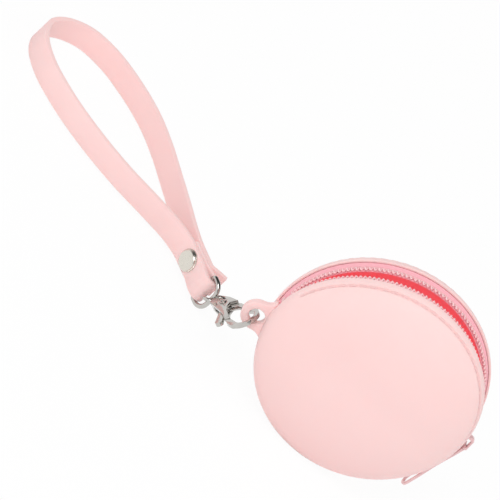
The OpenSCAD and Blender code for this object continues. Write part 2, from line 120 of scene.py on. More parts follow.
bpy.ops.mesh.primitive_grid_add(x_subdivisions=8, y_subdivisions=8, size=9, location=(0, 0, -0.05 * MM))
floor = bpy.context.object
floor.name = "floor"
floor_paint, nodes, links, shader = new_material("white_table")
set_inputs(shader, {"Base Color": (0.94, 0.94, 0.94, 1), "Roughness": 0.75})
table_noise = nodes.new("ShaderNodeTexNoise")
table_noise.inputs["Scale"].default_value = 60
table_bump = nodes.new("ShaderNodeBump")
table_bump.inputs["Strength"].default_value = 0.02
links.new(table_noise.outputs["Fac"], table_bump.inputs["Height"])
links.new(table_bump.outputs["Normal"], shader.inputs["Normal"])
table_glow = nodes.new("ShaderNodeEmission")
table_glow.inputs["Color"].default_value = (1, 1, 1, 1)
glow_share = maths(nodes, "MULTIPLY", 0.94)
links.new(seen_directly(nodes, links), glow_share.inputs[0])
show_instead(nodes, links, glow_share.outputs[0], shader, table_glow, nodes["Material Output"])
floor.data.materials.append(floor_paint)

room = bpy.data.worlds.new("white_room")
bpy.context.scene.world = room
room.use_nodes = True
nodes, links = room.node_tree.nodes, room.node_tree.links
room_light = nodes["Background"]
set_inputs(room_light, {"Color": (1, 0.99, 0.985, 1), "Strength": 0.66})
# Metal sees a room that darkens towards its ceiling, as under a studio's black ceiling
room_seen = nodes.new("ShaderNodeBackground")
room_direction = nodes.new("ShaderNodeTexCoord")
room_height = nodes.new("ShaderNodeSeparateXYZ")
room_ramp = nodes.new("ShaderNodeValToRGB")
room_ramp.color_ramp.elements[0].position = 0.12
room_ramp.color_ramp.elements[0].color = (1, 1, 1, 1)
room_ramp.color_ramp.elements[1].position = 0.62
room_ramp.color_ramp.elements[1].color = (0.05, 0.05, 0.052, 1)
links.new(room_direction.outputs["Generated"], room_height.inputs[0])
links.new(room_height.outputs["Z"], room_ramp.inputs["Fac"])
links.new(room_ramp.outputs["Color"], room_seen.inputs["Color"])
show_instead(nodes, links, seen_directly(nodes, links), room_light, room_seen, nodes["World Output"])

lamp_aim = Vector((-0.03, 0.02, 0.03))
for lamp_name, lamp_place, lamp_size, lamp_power in (
    ("key_lamp", Vector((-0.75, -0.95, 1.35)), 1.0, 12.5),
    ("side_lamp", Vector((1.3, -0.5, 0.9)), 0.9, 4.0),
):
    bpy.ops.object.light_add(type="AREA", location=lamp_place)
    lamp = bpy.context.object
    lamp.name = lamp_name
    lamp.data.size = lamp_size
    lamp.data.energy = lamp_power
    lamp.rotation_euler = (lamp_place - lamp_aim).to_track_quat("Z", "Y").to_euler()


# Silicone back half: the domed back shell, the web along the table side that joins it to the front shell, and the
# eyelet tab. All of it is one moulding of pale pink silicone with a fine matt grain.
rim_r = 41 * MM
rim_offset = 4.2 * MM
dome_depth = 14.8 * MM
dome_power = 2.13
shell_wall = 1.6 * MM
rim_wall = 2 * MM
inner_rim_r = rim_r - rim_wall
purse_z = 39.8 * MM
round_steps = 168
# Angles that a dome's outline is drawn at, from its top to its rim, closer together at the stitch groove
outer_angles = (90, 84, 78, 72, 66, 60, 54, 48, 42, 37, 32, 28, 24, 21, 18.5, 16, 14.2, 13, 12.05, 11.1, 9.96,
                7.6, 5.2, 2.6, 0)
inner_angles = (0, 4, 8, 12, 17, 22, 28, 34, 41, 48, 55, 62, 69, 76, 83, 90)
# The lip is thinned on its inside, where the edge of the zipper tape is tucked in. It starts a little under the
# purse's middle, and the reach says how far inside the rim's wall the vertices lie that are moved.
lip_inner_r = 40.1 * MM
lip_from = purse_z - 6.8 * MM
lip_round = 0.28 * MM
tuck_depth = 2.1 * MM
tuck_reach = 0.6 * MM
near = 0.05 * MM
# The stitch groove's middle over the lip, and its rows of vertices: millimetres from that middle, and depth
stitch_rise = 3.4 * MM
groove_rows = ((0, 0.34), (-0.25, 0.26), (0.25, 0.26))
groove_row_half = 0.09 * MM
groove_reach = 1.3 * MM
groove_from = purse_z + 7.5 * MM
web_angle = math.degrees(math.asin(6.6 * MM / rim_r))
web_end_reach = 1.1 * MM
web_end_round = 0.5 * MM
tab_angle = 198
tab_centre_r = 44.4 * MM
tab_hole_r = 3 * MM
tab_thickness = 3 * MM
# Half width of the tab at distances from the purse's middle, up to the middle of its hole, and its outer radius
tab_flare = ((39.6, 8.1), (40.4, 7.4), (41.2, 6.7), (42.1, 6.15), (43.2, 5.8))
tab_outer_r = 5.7 * MM
tab_round = 0.75 * MM


def dome_point(radius, depth, angle):
    """A point of a dome's outline: its distance from the purse's middle, and its distance from the zipper."""
    turn = math.radians(angle)
    along, up = max(math.cos(turn), 0) ** (2 / dome_power), math.sin(turn) ** (2 / dome_power)
    return radius * along if angle < 90 else 0.0, rim_offset + depth * up


def rotation(degrees, axis):
    """The matrix of a turn round an axis of the frame."""
    return Matrix.Rotation(math.radians(degrees), 4, axis)


def purse_place(radius, angle, offset):
    """A place by its distance from the purse's middle, its angle from the slider's side and its offset to the front."""
    return Vector((radius * math.cos(angle), -offset, purse_z + radius * math.sin(angle)))


def mode(name):
    """Goes to edit mode or back to object mode."""
    bpy.ops.object.mode_set(mode=name)


def pick(piece, test):
    """Selects, in edit mode, the vertices of a piece whose places pass the test."""
    bpy.ops.mesh.select_mode(type="VERT")
    bpy.ops.mesh.select_all(action="DESELECT")
    mode("OBJECT")
    for vertex in piece.data.vertices:
        vertex.select = test(vertex.co)
    mode("EDIT")
    bpy.ops.mesh.select_mode(type="VERT")


def pull(move):
    """Extrudes what is selected by a move."""
    bpy.ops.mesh.extrude_region_move(TRANSFORM_OT_translate={"value": move})


def draw_outline(name, places):
    """A piece of edges alone, in edit mode and all selected, that is extruded from place to place."""
    bpy.ops.object.select_all(action="DESELECT")
    bpy.ops.mesh.primitive_plane_add(size=MM)
    piece = bpy.context.object
    piece.name = name
    mode("EDIT")
    bpy.ops.mesh.select_mode(type="VERT")
    bpy.ops.mesh.merge(type="CENTER")
    bpy.ops.transform.translate(value=places[0])
    for before, after in zip(places, places[1:]):
        pull(after - before)
    bpy.ops.mesh.select_all(action="SELECT")
    bpy.ops.mesh.remove_doubles(threshold=0.0005 * MM)
    return piece


def turned(name, outline, start=0.0, sweep=360.0, steps=round_steps):
    """A piece spun round the purse's middle from an outline of distances from the middle and offsets to the front."""
    piece = draw_outline(name, [purse_place(radius, math.radians(start), offset) for radius, offset in outline])
    bpy.ops.mesh.spin(steps=steps, angle=math.radians(sweep), center=(0, 0, purse_z), axis=(0, 1, 0))
    bpy.ops.mesh.select_all(action="SELECT")
    bpy.ops.mesh.remove_doubles(threshold=0.002 * MM)
    bpy.ops.mesh.fill_holes(sides=0)
    bpy.ops.mesh.normals_make_consistent(inside=False)
    return piece


def select_only(*pieces):
    """Leaves only these pieces selected, with the first of them active."""
    bpy.ops.object.select_all(action="DESELECT")
    for piece in pieces:
        piece.select_set(True)
    bpy.context.view_layer.objects.active = pieces[0]


def smooth(piece, angle=40):
    """Leaves edit mode and shades the piece smooth, but for its edges sharper than the angle."""
    mode("OBJECT")
    select_only(piece)
    bpy.ops.object.shade_smooth_by_angle(angle=math.radians(angle))
    return piece


def finish_with(piece, kind, **settings):
    """Adds a modifier with its settings and applies it."""
    select_only(piece)
    modifier = piece.modifiers.new(kind.lower(), kind)
    for key, value in settings.items():
        setattr(modifier, key, value)
    bpy.ops.object.modifier_apply(modifier=modifier.name)


def ease_edges(piece, width, segments=3, angle=50):
    """Rounds the piece's edges that are sharper than the angle."""
    finish_with(piece, "BEVEL", width=width, segments=segments, limit_method="ANGLE", angle_limit=math.radians(angle))


def keep_above_table(piece):
    """Flattens what would go through the table top, as the purse's foot."""
    for vertex in piece.data.vertices:
        vertex.co.z = max(vertex.co.z, 0.0)


def off_axis(place):
    """Distance from the axis that both domes are turned round."""
    return math.hypot(place.x, place.z - purse_z)


def shape_shell(piece, side):
    """Thins and rounds the lips and presses in the stitch groove. Side is 1 on the front shell and -1 on the back."""
    def rise(place):
        return -side * place.y - rim_offset

    pick(piece, lambda place: rise(place) < tuck_depth and place.z > lip_from
         and inner_rim_r - tuck_reach < off_axis(place) < inner_rim_r + near)
    mode("OBJECT")
    for vertex in piece.data.vertices:
        if vertex.select:
            share = lip_inner_r / off_axis(vertex.co)
            vertex.co = (vertex.co.x * share, vertex.co.y, purse_z + (vertex.co.z - purse_z) * share)
    mode("EDIT")
    for lip_r in (rim_r, lip_inner_r):
        pick(piece, lambda place: abs(rise(place)) < 0.01 * MM and abs(off_axis(place) - lip_r) < near
             and place.z > lip_from)
        bpy.ops.mesh.bevel(offset=lip_round, segments=3, affect="EDGES")
    for row, depth in groove_rows:
        pick(piece, lambda place: abs(rise(place) - stitch_rise - row * MM) < groove_row_half
             and off_axis(place) > rim_r - groove_reach and place.z > groove_from)
        bpy.ops.transform.shrink_fatten(value=-depth * MM)
    mode("OBJECT")
    keep_above_table(piece)


def shell_outline(side):
    """A half's wall in section: over the outside of its dome, and back along its inside."""
    outer = [dome_point(rim_r, dome_depth, angle) for angle in outer_angles]
    inner = [dome_point(inner_rim_r, dome_depth - shell_wall, angle) for angle in inner_angles]
    return [(radius, side * offset) for radius, offset in outer + inner]


def join(name, *parts):
    """Several parts as one piece."""
    select_only(*parts)
    bpy.ops.object.join()
    parts[0].name = name
    return parts[0]


def drawn_plate(name, outline, low, high):
    """A flat plate in edit mode, drawn as an outline in X and Y and extruded from one height to another."""
    piece = draw_outline(name, [Vector((x, y, low)) for x, y in outline + outline[:1]])
    bpy.ops.mesh.edge_face_add()
    pull((0, 0, high - low))
    bpy.ops.mesh.select_all(action="SELECT")
    bpy.ops.mesh.normals_make_consistent(inside=False)
    mode("OBJECT")
    return piece


def tongue(flank, end_x, end_r, step):
    """The outline of a strip with two like flanks and a round end, drawn at steps of an angle."""
    arc = [math.radians(angle) for angle in range(-90, 91, step)]
    return ([(x, -half) for x, half in flank]
            + [(end_x + end_r * math.cos(turn), end_r * math.sin(turn)) for turn in arc] + flank[::-1])


def rod(radius, length, place=(0, 0, 0), turn=(0, 0, 0), vertices=32):
    """A cylinder at its place, to be shaped or cut with."""
    bpy.ops.object.select_all(action="DESELECT")
    bpy.ops.mesh.primitive_cylinder_add(vertices=vertices, radius=radius, depth=length, location=place, rotation=turn)
    bpy.ops.object.transform_apply(location=True, rotation=True, scale=True)
    return bpy.context.object


def cut(piece, tool):
    """Takes the tool's shape out of the piece."""
    finish_with(piece, "BOOLEAN", operation="DIFFERENCE", solver="EXACT", object=tool)
    bpy.data.objects.remove(tool)


back_silicone = turned("silicone_back", shell_outline(-1))
shape_shell(back_silicone, -1)
smooth(back_silicone, 50)

web = turned("web", [(rim_r, -rim_offset), (rim_r, -rim_offset / 3), (rim_r, rim_offset / 3), (rim_r, rim_offset),
                     (inner_rim_r, rim_offset), (inner_rim_r, -rim_offset), (rim_r, -rim_offset)],
             start=180 + web_angle, sweep=180 - 2 * web_angle, steps=76)
web_ends = [purse_place(rim_r - rim_wall / 2, math.radians(angle), 0) for angle in (180 + web_angle, -web_angle)]
pick(web, lambda place: any(math.hypot(place.x - end.x, place.z - end.z) < web_end_reach for end in web_ends))
bpy.ops.mesh.bevel(offset=web_end_round, segments=3, affect="EDGES")
mode("OBJECT")
keep_above_table(web)
smooth(web, 50)

flare = [(radius * MM - tab_centre_r, half * MM) for radius, half in tab_flare]
tab = drawn_plate("tab", tongue(flare, 0, tab_outer_r, 9), -tab_thickness / 2, tab_thickness / 2)
cut(tab, rod(tab_hole_r, 3 * tab_thickness, vertices=40))
ease_edges(tab, tab_round, 4)
on_purse = Matrix.Translation((0, 0, purse_z)) @ rotation(90, "X")
tab.data.transform(on_purse @ rotation(tab_angle, "Z") @ Matrix.Translation((tab_centre_r, 0, 0)))
smooth(tab, 50)


def new_group(name, inputs, outputs):
    """A shader node group with named number and colour sockets: the group, its nodes, its links, its two ends."""
    group = bpy.data.node_groups.new(name, "ShaderNodeTree")
    for label, kind in inputs:
        group.interface.new_socket(label, in_out="INPUT", socket_type=kind)
    for label, kind in outputs:
        group.interface.new_socket(label, in_out="OUTPUT", socket_type=kind)
    return group, group.nodes, group.links, group.nodes.new("NodeGroupInput"), group.nodes.new("NodeGroupOutput")


# Slow drift between two close colours, as moulded and dyed goods have
drift_group, nodes, links, given, made = new_group(
    "colour_drift",
    [("First", "NodeSocketColor"), ("Second", "NodeSocketColor"), ("Scale", "NodeSocketFloat")],
    [("Color", "NodeSocketColor")])
drift_place = nodes.new("ShaderNodeTexCoord")
drift_noise = nodes.new("ShaderNodeTexNoise")
drift_noise.inputs["Detail"].default_value = 5
drift_mix = nodes.new("ShaderNodeMix")
drift_mix.data_type = "RGBA"
links.new(drift_place.outputs["Object"], drift_noise.inputs["Vector"])
links.new(given.outputs["Scale"], drift_noise.inputs["Scale"])
links.new(drift_noise.outputs["Fac"], drift_mix.inputs["Factor"])
links.new(given.outputs["First"], drift_mix.inputs["A"])
links.new(given.outputs["Second"], drift_mix.inputs["B"])
links.new(drift_mix.outputs["Result"], made.inputs["Color"])

# Fine grain of two sizes, as a spark-eroded mould or a cast surface leaves it
grain_group, nodes, links, given, made = new_group(
    "fine_grain",
    [("Scale", "NodeSocketFloat")],
    [("Height", "NodeSocketFloat"), ("Mask", "NodeSocketFloat")])
grain_place = nodes.new("ShaderNodeTexCoord")
fine = nodes.new("ShaderNodeTexNoise")
fine.inputs["Detail"].default_value = 3
coarse = nodes.new("ShaderNodeTexNoise")
coarse.inputs["Detail"].default_value = 2
coarse_scale = maths(nodes, "MULTIPLY", 0.22)
grain_sum = maths(nodes, "MULTIPLY_ADD", 0.6)
links.new(grain_place.outputs["Object"], fine.inputs["Vector"])
links.new(grain_place.outputs["Object"], coarse.inputs["Vector"])
links.new(given.outputs["Scale"], fine.inputs["Scale"])
links.new(given.outputs["Scale"], coarse_scale.inputs[0])
links.new(coarse_scale.outputs[0], coarse.inputs["Scale"])
links.new(coarse.outputs["Fac"], grain_sum.inputs[0])
links.new(fine.outputs["Fac"], grain_sum.inputs[2])
links.new(grain_sum.outputs[0], made.inputs["Height"])
links.new(coarse.outputs["Fac"], made.inputs["Mask"])


def use_group(nodes, group, **values):
    """Places a node group in a material with its values set."""
    node = nodes.new("ShaderNodeGroup")
    node.node_tree = group
    set_inputs(node, values)
    return node


def give_bump(nodes, links, height, shader, strength, distance):
    """Feeds a height to the shader's normal."""
    bump = nodes.new("ShaderNodeBump")
    set_inputs(bump, {"Strength": strength, "Distance": distance})
    links.new(height, bump.inputs["Height"])
    links.new(bump.outputs["Normal"], shader.inputs["Normal"])


def give_roughness(nodes, links, mask, shader, low, high):
    """Lets the shader's roughness wander between two values with a mask."""
    spread = nodes.new("ShaderNodeMapRange")
    set_inputs(spread, {"To Min": low, "To Max": high})
    links.new(mask, spread.inputs["Value"])
    links.new(spread.outputs["Result"], shader.inputs["Roughness"])


def give_surface(nodes, links, shader, tones, drift_scale, grain_scale, rough, bump):
    """Two close tones that drift, and a fine grain that moves the roughness between two values and bumps the skin."""
    drift = use_group(nodes, drift_group, First=tones[0], Second=tones[1], Scale=drift_scale)
    grain = use_group(nodes, grain_group, Scale=grain_scale)
    links.new(drift.outputs["Color"], shader.inputs["Base Color"])
    give_roughness(nodes, links, grain.outputs["Mask"], shader, *rough)
    give_bump(nodes, links, grain.outputs["Height"], shader, *bump)


def silicone_finish(name, *tones):
    """Matt silicone of two close tones with a fine grain and a soft inner glow."""
    material, nodes, links, shader = new_material(name)
    give_surface(nodes, links, shader, tones, 38.0, 2600.0, rough=(0.44, 0.62), bump=(0.16, 0.08 * MM))
    set_inputs(shader, {"Specular IOR Level": 0.32, "Subsurface Weight": 0.12, "Subsurface Radius": (1, 0.36, 0.3),
                        "Subsurface Scale": 2.2 * MM})
    return material


silicone = silicone_finish("pink_silicone", display(252, 218, 216), display(250, 212, 210))
# The inner wall's copy of the silicone is painted shade: a deeper pink for the inside in shadow
silicone_painted_shade_glow = silicone_finish("pink_silicone_painted_shade_glow", display(251, 170, 177), display(249, 158, 166))
painted_glow_shader = silicone_painted_shade_glow.node_tree.nodes["Principled BSDF"]
# Painted glow: a faint emission on the inner wall stands in for daylight that comes through the thin wall
set_inputs(painted_glow_shader, {"Emission Color": display(240, 122, 132), "Emission Strength": 0.2,
                           "Subsurface Weight": 0.8, "Subsurface Scale": 3.5 * MM})


def give_inner_painted_shade_glow(piece):
    """Outer faces take the silicone, and those of the inner wall its copy with painted shade and a painted glow."""
    piece.data.materials.append(silicone)
    piece.data.materials.append(silicone_painted_shade_glow)
    for face in piece.data.polygons:
        away = off_axis(face.center)
        inward = Vector((face.center.x, 0, face.center.z - purse_z)).dot(face.normal) < 0
        deep = abs(face.center.y) < rim_offset + dome_depth - shell_wall / 2
        flat_inside = face.normal.y * face.center.y < 0 and abs(face.center.y) > rim_offset + 1 * MM
        face.material_index = 1 if away < inner_rim_r + near and deep and (inward or flat_inside) else 0


for part in (back_silicone, web):
    give_inner_painted_shade_glow(part)
tab.data.materials.append(silicone)
back_silicone = join("silicone_back", back_silicone, web, tab)
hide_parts("back_shell", "hinge_web", "eyelet_tab")
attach(back_silicone, "purse")


# Silicone front half: the domed front shell of the same moulding. Its lower part stands with the web, and its
# upper part swings out from the zipper, so the wall bends in a band along the hinge line.
gape_angle = math.radians(6.5)
bend_reach = 12 * MM


def eased_share(value, low, high):
    """0 at the low value and 1 at the high one, smooth between."""
    share = min(max((value - low) / (high - low), 0), 1)
    return share * share * (3 - 2 * share)


def gape(piece):
    """Swings what lies over the hinge line out by the rest gape, smoothly over the bending band."""
    hinge = Vector((0, 0, purse_z))
    for vertex in piece.data.vertices:
        share = eased_share(vertex.co.z, purse_z - bend_reach, purse_z + bend_reach)
        vertex.co = hinge + Matrix.Rotation(gape_angle * share, 3, "X") @ (vertex.co - hinge)


def bend_with_flap(piece):
    """Bakes the piece's placement into its mesh."""
    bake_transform(piece)


front_silicone = turned("silicone_front", shell_outline(1))
shape_shell(front_silicone, 1)
give_inner_painted_shade_glow(front_silicone)
gape(front_silicone)
smooth(front_silicone, 50)
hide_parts("front_pocket", "fold_band", "front_flap")
bend_with_flap(front_silicone)


# Zipper tapes: a woven nylon tape on each side, sewn under the lip of its shell, dyed a stronger pink than the
# silicone. Its ribs run along the zipper.
tape_r = 38.61 * MM
tape_thickness = 0.5 * MM
# Offsets of its two edges from the opening, and the rounding of the one at the teeth
tape_low, tape_high = 0.9 * MM, 6.1 * MM
tape_round = 0.12 * MM
# Outside the teeth the tape slopes up to the lip
tucked_r = 39.98 * MM
slope_from, slope_to = 2.55 * MM, 3.9 * MM


def give_tones(nodes, links, mask, shader, low, high):
    """Lets the shader's colour run between two tones with a mask."""
    tone = nodes.new("ShaderNodeMix")
    tone.data_type = "RGBA"
    set_inputs(tone, {"A": low, "B": high})
    links.new(mask, tone.inputs["Factor"])
    links.new(tone.outputs["Result"], shader.inputs["Base Color"])


def go_with_half(piece, side):
    """A piece of the front half gapes by the rest gape and has its placement baked, and one of the back half rides on
    the purse.
    """
    if side > 0:
        gape(piece)
        bend_with_flap(piece)
    else:
        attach(piece, "purse")


tape_cloth, nodes, links, shader = new_material("pink_tape")
weave_place = nodes.new("ShaderNodeUVMap")
weave_place.uv_map = "course"
ribs = nodes.new("ShaderNodeTexWave")
ribs.bands_direction = "Y"
set_inputs(ribs, {"Scale": 0.62, "Distortion": 0.6})
picks = nodes.new("ShaderNodeTexWave")
picks.bands_direction = "X"
picks.inputs["Scale"].default_value = 0.8
weave = maths(nodes, "MULTIPLY_ADD", 0.5)
links.new(weave_place.outputs["UV"], ribs.inputs["Vector"])
links.new(weave_place.outputs["UV"], picks.inputs["Vector"])
links.new(ribs.outputs["Fac"], weave.inputs[0])
links.new(picks.outputs["Fac"], weave.inputs[2])
give_tones(nodes, links, weave.outputs[0], shader, display(250, 170, 184), display(253, 194, 203))
give_bump(nodes, links, weave.outputs[0], shader, 0.5, 0.12 * MM)
set_inputs(shader, {"Roughness": 0.82, "Sheen Weight": 0.25})

for side, tape_name, cad_name in ((1, "tape_front", "front_tape"), (-1, "tape_back", "back_tape")):
    tape_inner, tucked_inner = tape_r - tape_thickness, tucked_r - tape_thickness
    cross = [(tape_r, tape_low + tape_round), (tape_r, slope_from), (tucked_r, slope_to), (tucked_r, tape_high),
             (tucked_inner, tape_high), (tucked_inner, slope_to + tape_round), (tape_inner, slope_from + tape_round),
             (tape_inner, tape_low + tape_round), (tape_inner + tape_round, tape_low), (tape_r - tape_round, tape_low),
             (tape_r, tape_low + tape_round)]
    tape = turned(tape_name, [(radius, side * offset) for radius, offset in cross], start=-9, sweep=198, steps=120)
    smooth(tape)
    course = tape.data.uv_layers.new(name="course")
    for loop in tape.data.loops:
        place = tape.data.vertices[loop.vertex_index].co
        turn = math.atan2(place.z - purse_z, place.x)
        turn += 2 * math.pi if turn < -math.pi / 2 else 0
        course.data[loop.index].uv = (turn * tape_r / MM, -side * place.y / MM)
    tape.data.materials.append(tape_cloth)
    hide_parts(cad_name)
    go_with_half(tape, side)


# Coil teeth: on each tape one nylon monofilament is wound in a flat coil and sewn down with a thread over the
# backs of its loops. Its heads point at the opening.
tooth_pitch = 1.6 * MM
wire_r = 0.33 * MM
tooth_tip = 0.35 * MM
tooth_back = 2.35 * MM
loop_reach_length = tooth_back - tooth_tip - 2 * wire_r
loop_half_height = 0.21 * MM
coil_r = tape_r + 0.55 * MM
tooth_angle = tooth_pitch / coil_r
chain_start = math.radians(-2.2)
tooth_count = 78
# One loop of the coil: share of a pitch along the zipper, share of the way from back to tip, height over its middle
loop_shape = ((-0.5, 0.0, -0.05), (-0.38, 0.08, -0.6), (-0.24, 0.4, -0.9), (-0.12, 0.8, -0.8), (-0.03, 1.0, -0.15),
              (0.05, 0.98, 0.5), (0.10, 0.78, 0.9), (0.13, 0.42, 1.0), (0.20, 0.1, 0.85), (0.34, 0.0, 0.45))
# The thread over it: share of a pitch along the zipper, and height over the coil's middle in millimetres
sewing_shape = ((-0.25, 0.6), (0.0, 0.48), (0.25, 0.33))
sewing_in = 0.62 * MM
sewing_r = 0.11 * MM

nylon, nodes, links, shader = new_material("pale_nylon")
give_surface(nodes, links, shader, (display(254, 216, 218), display(250, 202, 206)), 160.0, 5200.0,
             rough=(0.26, 0.4), bump=(0.08, 0.05 * MM))
set_inputs(shader, {"Subsurface Weight": 0.1, "Subsurface Radius": (1, 0.5, 0.5), "Subsurface Scale": 0.6 * MM})

thread, nodes, links, shader = new_material("pink_thread")
twist = nodes.new("ShaderNodeTexWave")
twist.bands_direction = "DIAGONAL"
twist.inputs["Scale"].default_value = 1500
twist_place = nodes.new("ShaderNodeTexCoord")
links.new(twist_place.outputs["Object"], twist.inputs["Vector"])
give_tones(nodes, links, twist.outputs["Fac"], shader, display(242, 200, 200), display(250, 212, 211))
give_bump(nodes, links, twist.outputs["Fac"], shader, 0.5, 0.05 * MM)
set_inputs(shader, {"Roughness": 0.7, "Sheen Weight": 0.2})


def wire(name, points, radius, closed=False, sides=3):
    """A round wire along points, as a mesh."""
    line = bpy.data.curves.new(name, "CURVE")
    line.dimensions = "3D"
    line.bevel_depth = radius
    line.bevel_resolution = sides
    line.use_fill_caps = True
    spline = line.splines.new("POLY")
    spline.points.add(len(points) - 1)
    for target, place in zip(spline.points, points):
        target.co = (*place, 1)
    spline.use_cyclic_u = closed
    piece = bpy.data.objects.new(name, line)
    bpy.context.scene.collection.objects.link(piece)
    select_only(piece)
    bpy.ops.object.convert(target="MESH")
    piece = bpy.context.object
    bpy.ops.object.shade_smooth()
    return piece


for side, shift, chain_name, cad_name in ((1, 0.5, "coil_front", "front_chain"), (-1, 0.0, "coil_back", "back_chain")):
    points, sewing = [], []
    for tooth in range(tooth_count):
        tooth_start = chain_start + (tooth + shift) * tooth_angle
        for along, reach, height in loop_shape:
            offset = tooth_back - wire_r - reach * loop_reach_length
            points.append(purse_place(coil_r + height * loop_half_height, tooth_start + along * tooth_angle,
                                      side * offset))
        for along, height in sewing_shape:
            sewing.append(purse_place(coil_r + height * MM, tooth_start + along * tooth_angle,
                                      side * (tooth_back - sewing_in)))
    coil = wire("coil", points, wire_r)
    coil.data.materials.append(nylon)
    sewn = wire("sewing", sewing, sewing_r, sides=1)
    sewn.data.materials.append(thread)
    coil = join(chain_name, coil, sewn)
    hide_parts(cad_name)
    go_with_half(coil, side)


# Stitching: a row of lockstitches in a shallow groove of each shell, which holds the tape under the lip. The thread
# is twisted polyester, a shade deeper than the silicone.
stitch_length = 2.8 * MM
stitch_step = 3.8 * MM
thread_r = 0.26 * MM
stitch_sink = 0.22 * MM
stitch_r = rim_r * (1 - (stitch_rise / dome_depth) ** dome_power) ** (1 / dome_power) - stitch_sink
stitch_count = 29
# Depth and turn of the thread's twist, and how far a stitch's ends dip into the silicone, as shares of its radius
twist_depth, twist_turn = 0.07, 9
end_dip = 0.5

bpy.ops.object.select_all(action="DESELECT")
bpy.ops.mesh.primitive_uv_sphere_add(segments=10, ring_count=12, radius=1, location=(0, 0, 0))
stitch = bpy.context.object
for vertex in stitch.data.vertices:
    x, y, z = vertex.co
    fullness = max(1 - abs(z) ** 5, 0) ** 0.5 / max((1 - z ** 2) ** 0.5, 0.02)
    girth = thread_r * fullness * (1 + twist_depth * math.cos(2 * math.atan2(y, x) + twist_turn * z))
    vertex.co = (x * girth - end_dip * thread_r * z ** 4, y * girth, z * stitch_length / 2)
for side, row_name, cad_name in ((1, "stitches_front", "front_stitching"), (-1, "stitches_back", "back_stitching")):
    copies = []
    for index in range(stitch_count):
        angle = math.pi / 2 + (index - (stitch_count - 1) / 2) * stitch_step / stitch_r
        copy = bpy.data.objects.new("stitch", stitch.data.copy())
        bpy.context.scene.collection.objects.link(copy)
        copy.data.transform(on_purse @ Matrix.Rotation(angle, 4, "Z")
                            @ Matrix.Translation((stitch_r, 0, side * (rim_offset + stitch_rise)))
                            @ rotation(-90, "X"))
        copies.append(copy)
    row = join(row_name, *copies)
    smooth(row, 80)
    row.data.materials.append(thread)
    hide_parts(cad_name)
    go_with_half(row, side)
bpy.data.objects.remove(stitch)


# Zipper stops: pressed metal staples over the ends of the teeth, two at the closed end and one wide one across both
# tapes at the open end.
def metal_finish(name, tones, rough, grain_scale, grain_depth):
    """Plated zinc of two close tones, with fine casting grain under the plate and polish that wanders."""
    material, nodes, links, shader = new_material(name)
    give_surface(nodes, links, shader, tones, 420.0, grain_scale, rough, bump=(0.12, grain_depth))
    shader.inputs["Metallic"].default_value = 1
    return material


nickel = metal_finish("polished_nickel", (display(206, 203, 198), display(186, 183, 180)), (0.06, 0.15), 900.0,
                      0.03 * MM)
pink_plate = metal_finish("pink_painted_zinc", (display(244, 208, 208), display(236, 196, 198)), (0.22, 0.36), 1500.0,
                          0.04 * MM)
paint_shader = pink_plate.node_tree.nodes["Principled BSDF"]
set_inputs(paint_shader, {"Metallic": 0.15, "Coat Weight": 0.4})


def eased_copy(cad_name, name, width):
    """A copy of a CAD node with its edges eased as a casting's or pressing's are."""
    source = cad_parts[cad_name]
    piece = bpy.data.objects.new(name, source.data.copy())
    piece.data.materials.clear()
    bpy.context.scene.collection.objects.link(piece)
    select_only(piece)
    mode("EDIT")
    bpy.ops.mesh.select_all(action="SELECT")
    bpy.ops.mesh.remove_doubles(threshold=0.002 * MM)
    bpy.ops.mesh.dissolve_limited(angle_limit=math.radians(0.5))
    mode("OBJECT")
    ease_edges(piece, width, angle=40)
    smooth(piece, 35)
    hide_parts(cad_name)
    return piece


for cad_name, piece_name in (("open_end_stop", "stop_open_end"), ("closed_end_stops", "stops_closed_end")):
    stop = eased_copy(cad_name, piece_name, 0.22 * MM)
    stop.data.materials.append(pink_plate)
    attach(stop, "purse")


# Slider: two die-cast plates with turned-in flanges that run on the tapes, joined by a post that parts the teeth,
# and a bridge on top that holds the puller's bar. It is painted pink to match.
slider_angle = 3.6
slider_half = 5.59
# Half widths in millimetres of a plate over its flanges, between them, and of its flat crown
flange_half, between_half, crown_half = 3.7, 3.2, 1.2
# Inner and outer radius of the upper and the lower plate, and how far in or out its flanges reach
plate_radii = ((39.93, 40.73, 38.86), (36.71, 37.51, 37.96))
# Shares by which the slider narrows towards its lower and its upper end
narrow_below, narrow_above = 0.17, 0.05
post_r, post_length, post_flatness = 0.9 * MM, 3.6 * MM, 0.22
post_place = (38.7 * MM, 2.9 * MM, 0)
bridge_half, bridge_narrow = 1.2 * MM, 0.2
on_slider = on_purse @ rotation(slider_angle, "Z")

plates = []
for low_r, high_r, flange_r in plate_radii:
    outer_r, inner_r = (high_r, low_r) if flange_r < low_r else (low_r, high_r)
    cross = [(flange_r, -flange_half), (outer_r, -flange_half), (outer_r, -crown_half), (outer_r, crown_half),
             (outer_r, flange_half), (flange_r, flange_half), (flange_r, between_half), (inner_r, between_half),
             (inner_r, -between_half), (flange_r, -between_half), (flange_r, -flange_half)]
    plate = turned("plate", [(radius * MM, offset * MM) for radius, offset in cross],
                   start=slider_angle - slider_half, sweep=2 * slider_half, steps=12)
    mode("OBJECT")
    for vertex in plate.data.vertices:
        share = (math.degrees(math.atan2(vertex.co.z - purse_z, vertex.co.x)) - slider_angle) / slider_half
        vertex.co.y *= 1 - narrow_below * max(-share, 0) ** 1.5 - narrow_above * max(share, 0) ** 3
    ease_edges(plate, 0.2 * MM)
    plates.append(smooth(plate))
post = rod(post_r, post_length, post_place, (0, math.radians(90), 0), vertices=16)
for vertex in post.data.vertices:
    vertex.co.z *= post_flatness
post.data.transform(on_slider)
plates.append(smooth(post))
slider = join("slider", *plates)
slider.data.materials.append(pink_plate)
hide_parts("slider_body")
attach(slider, "slider")

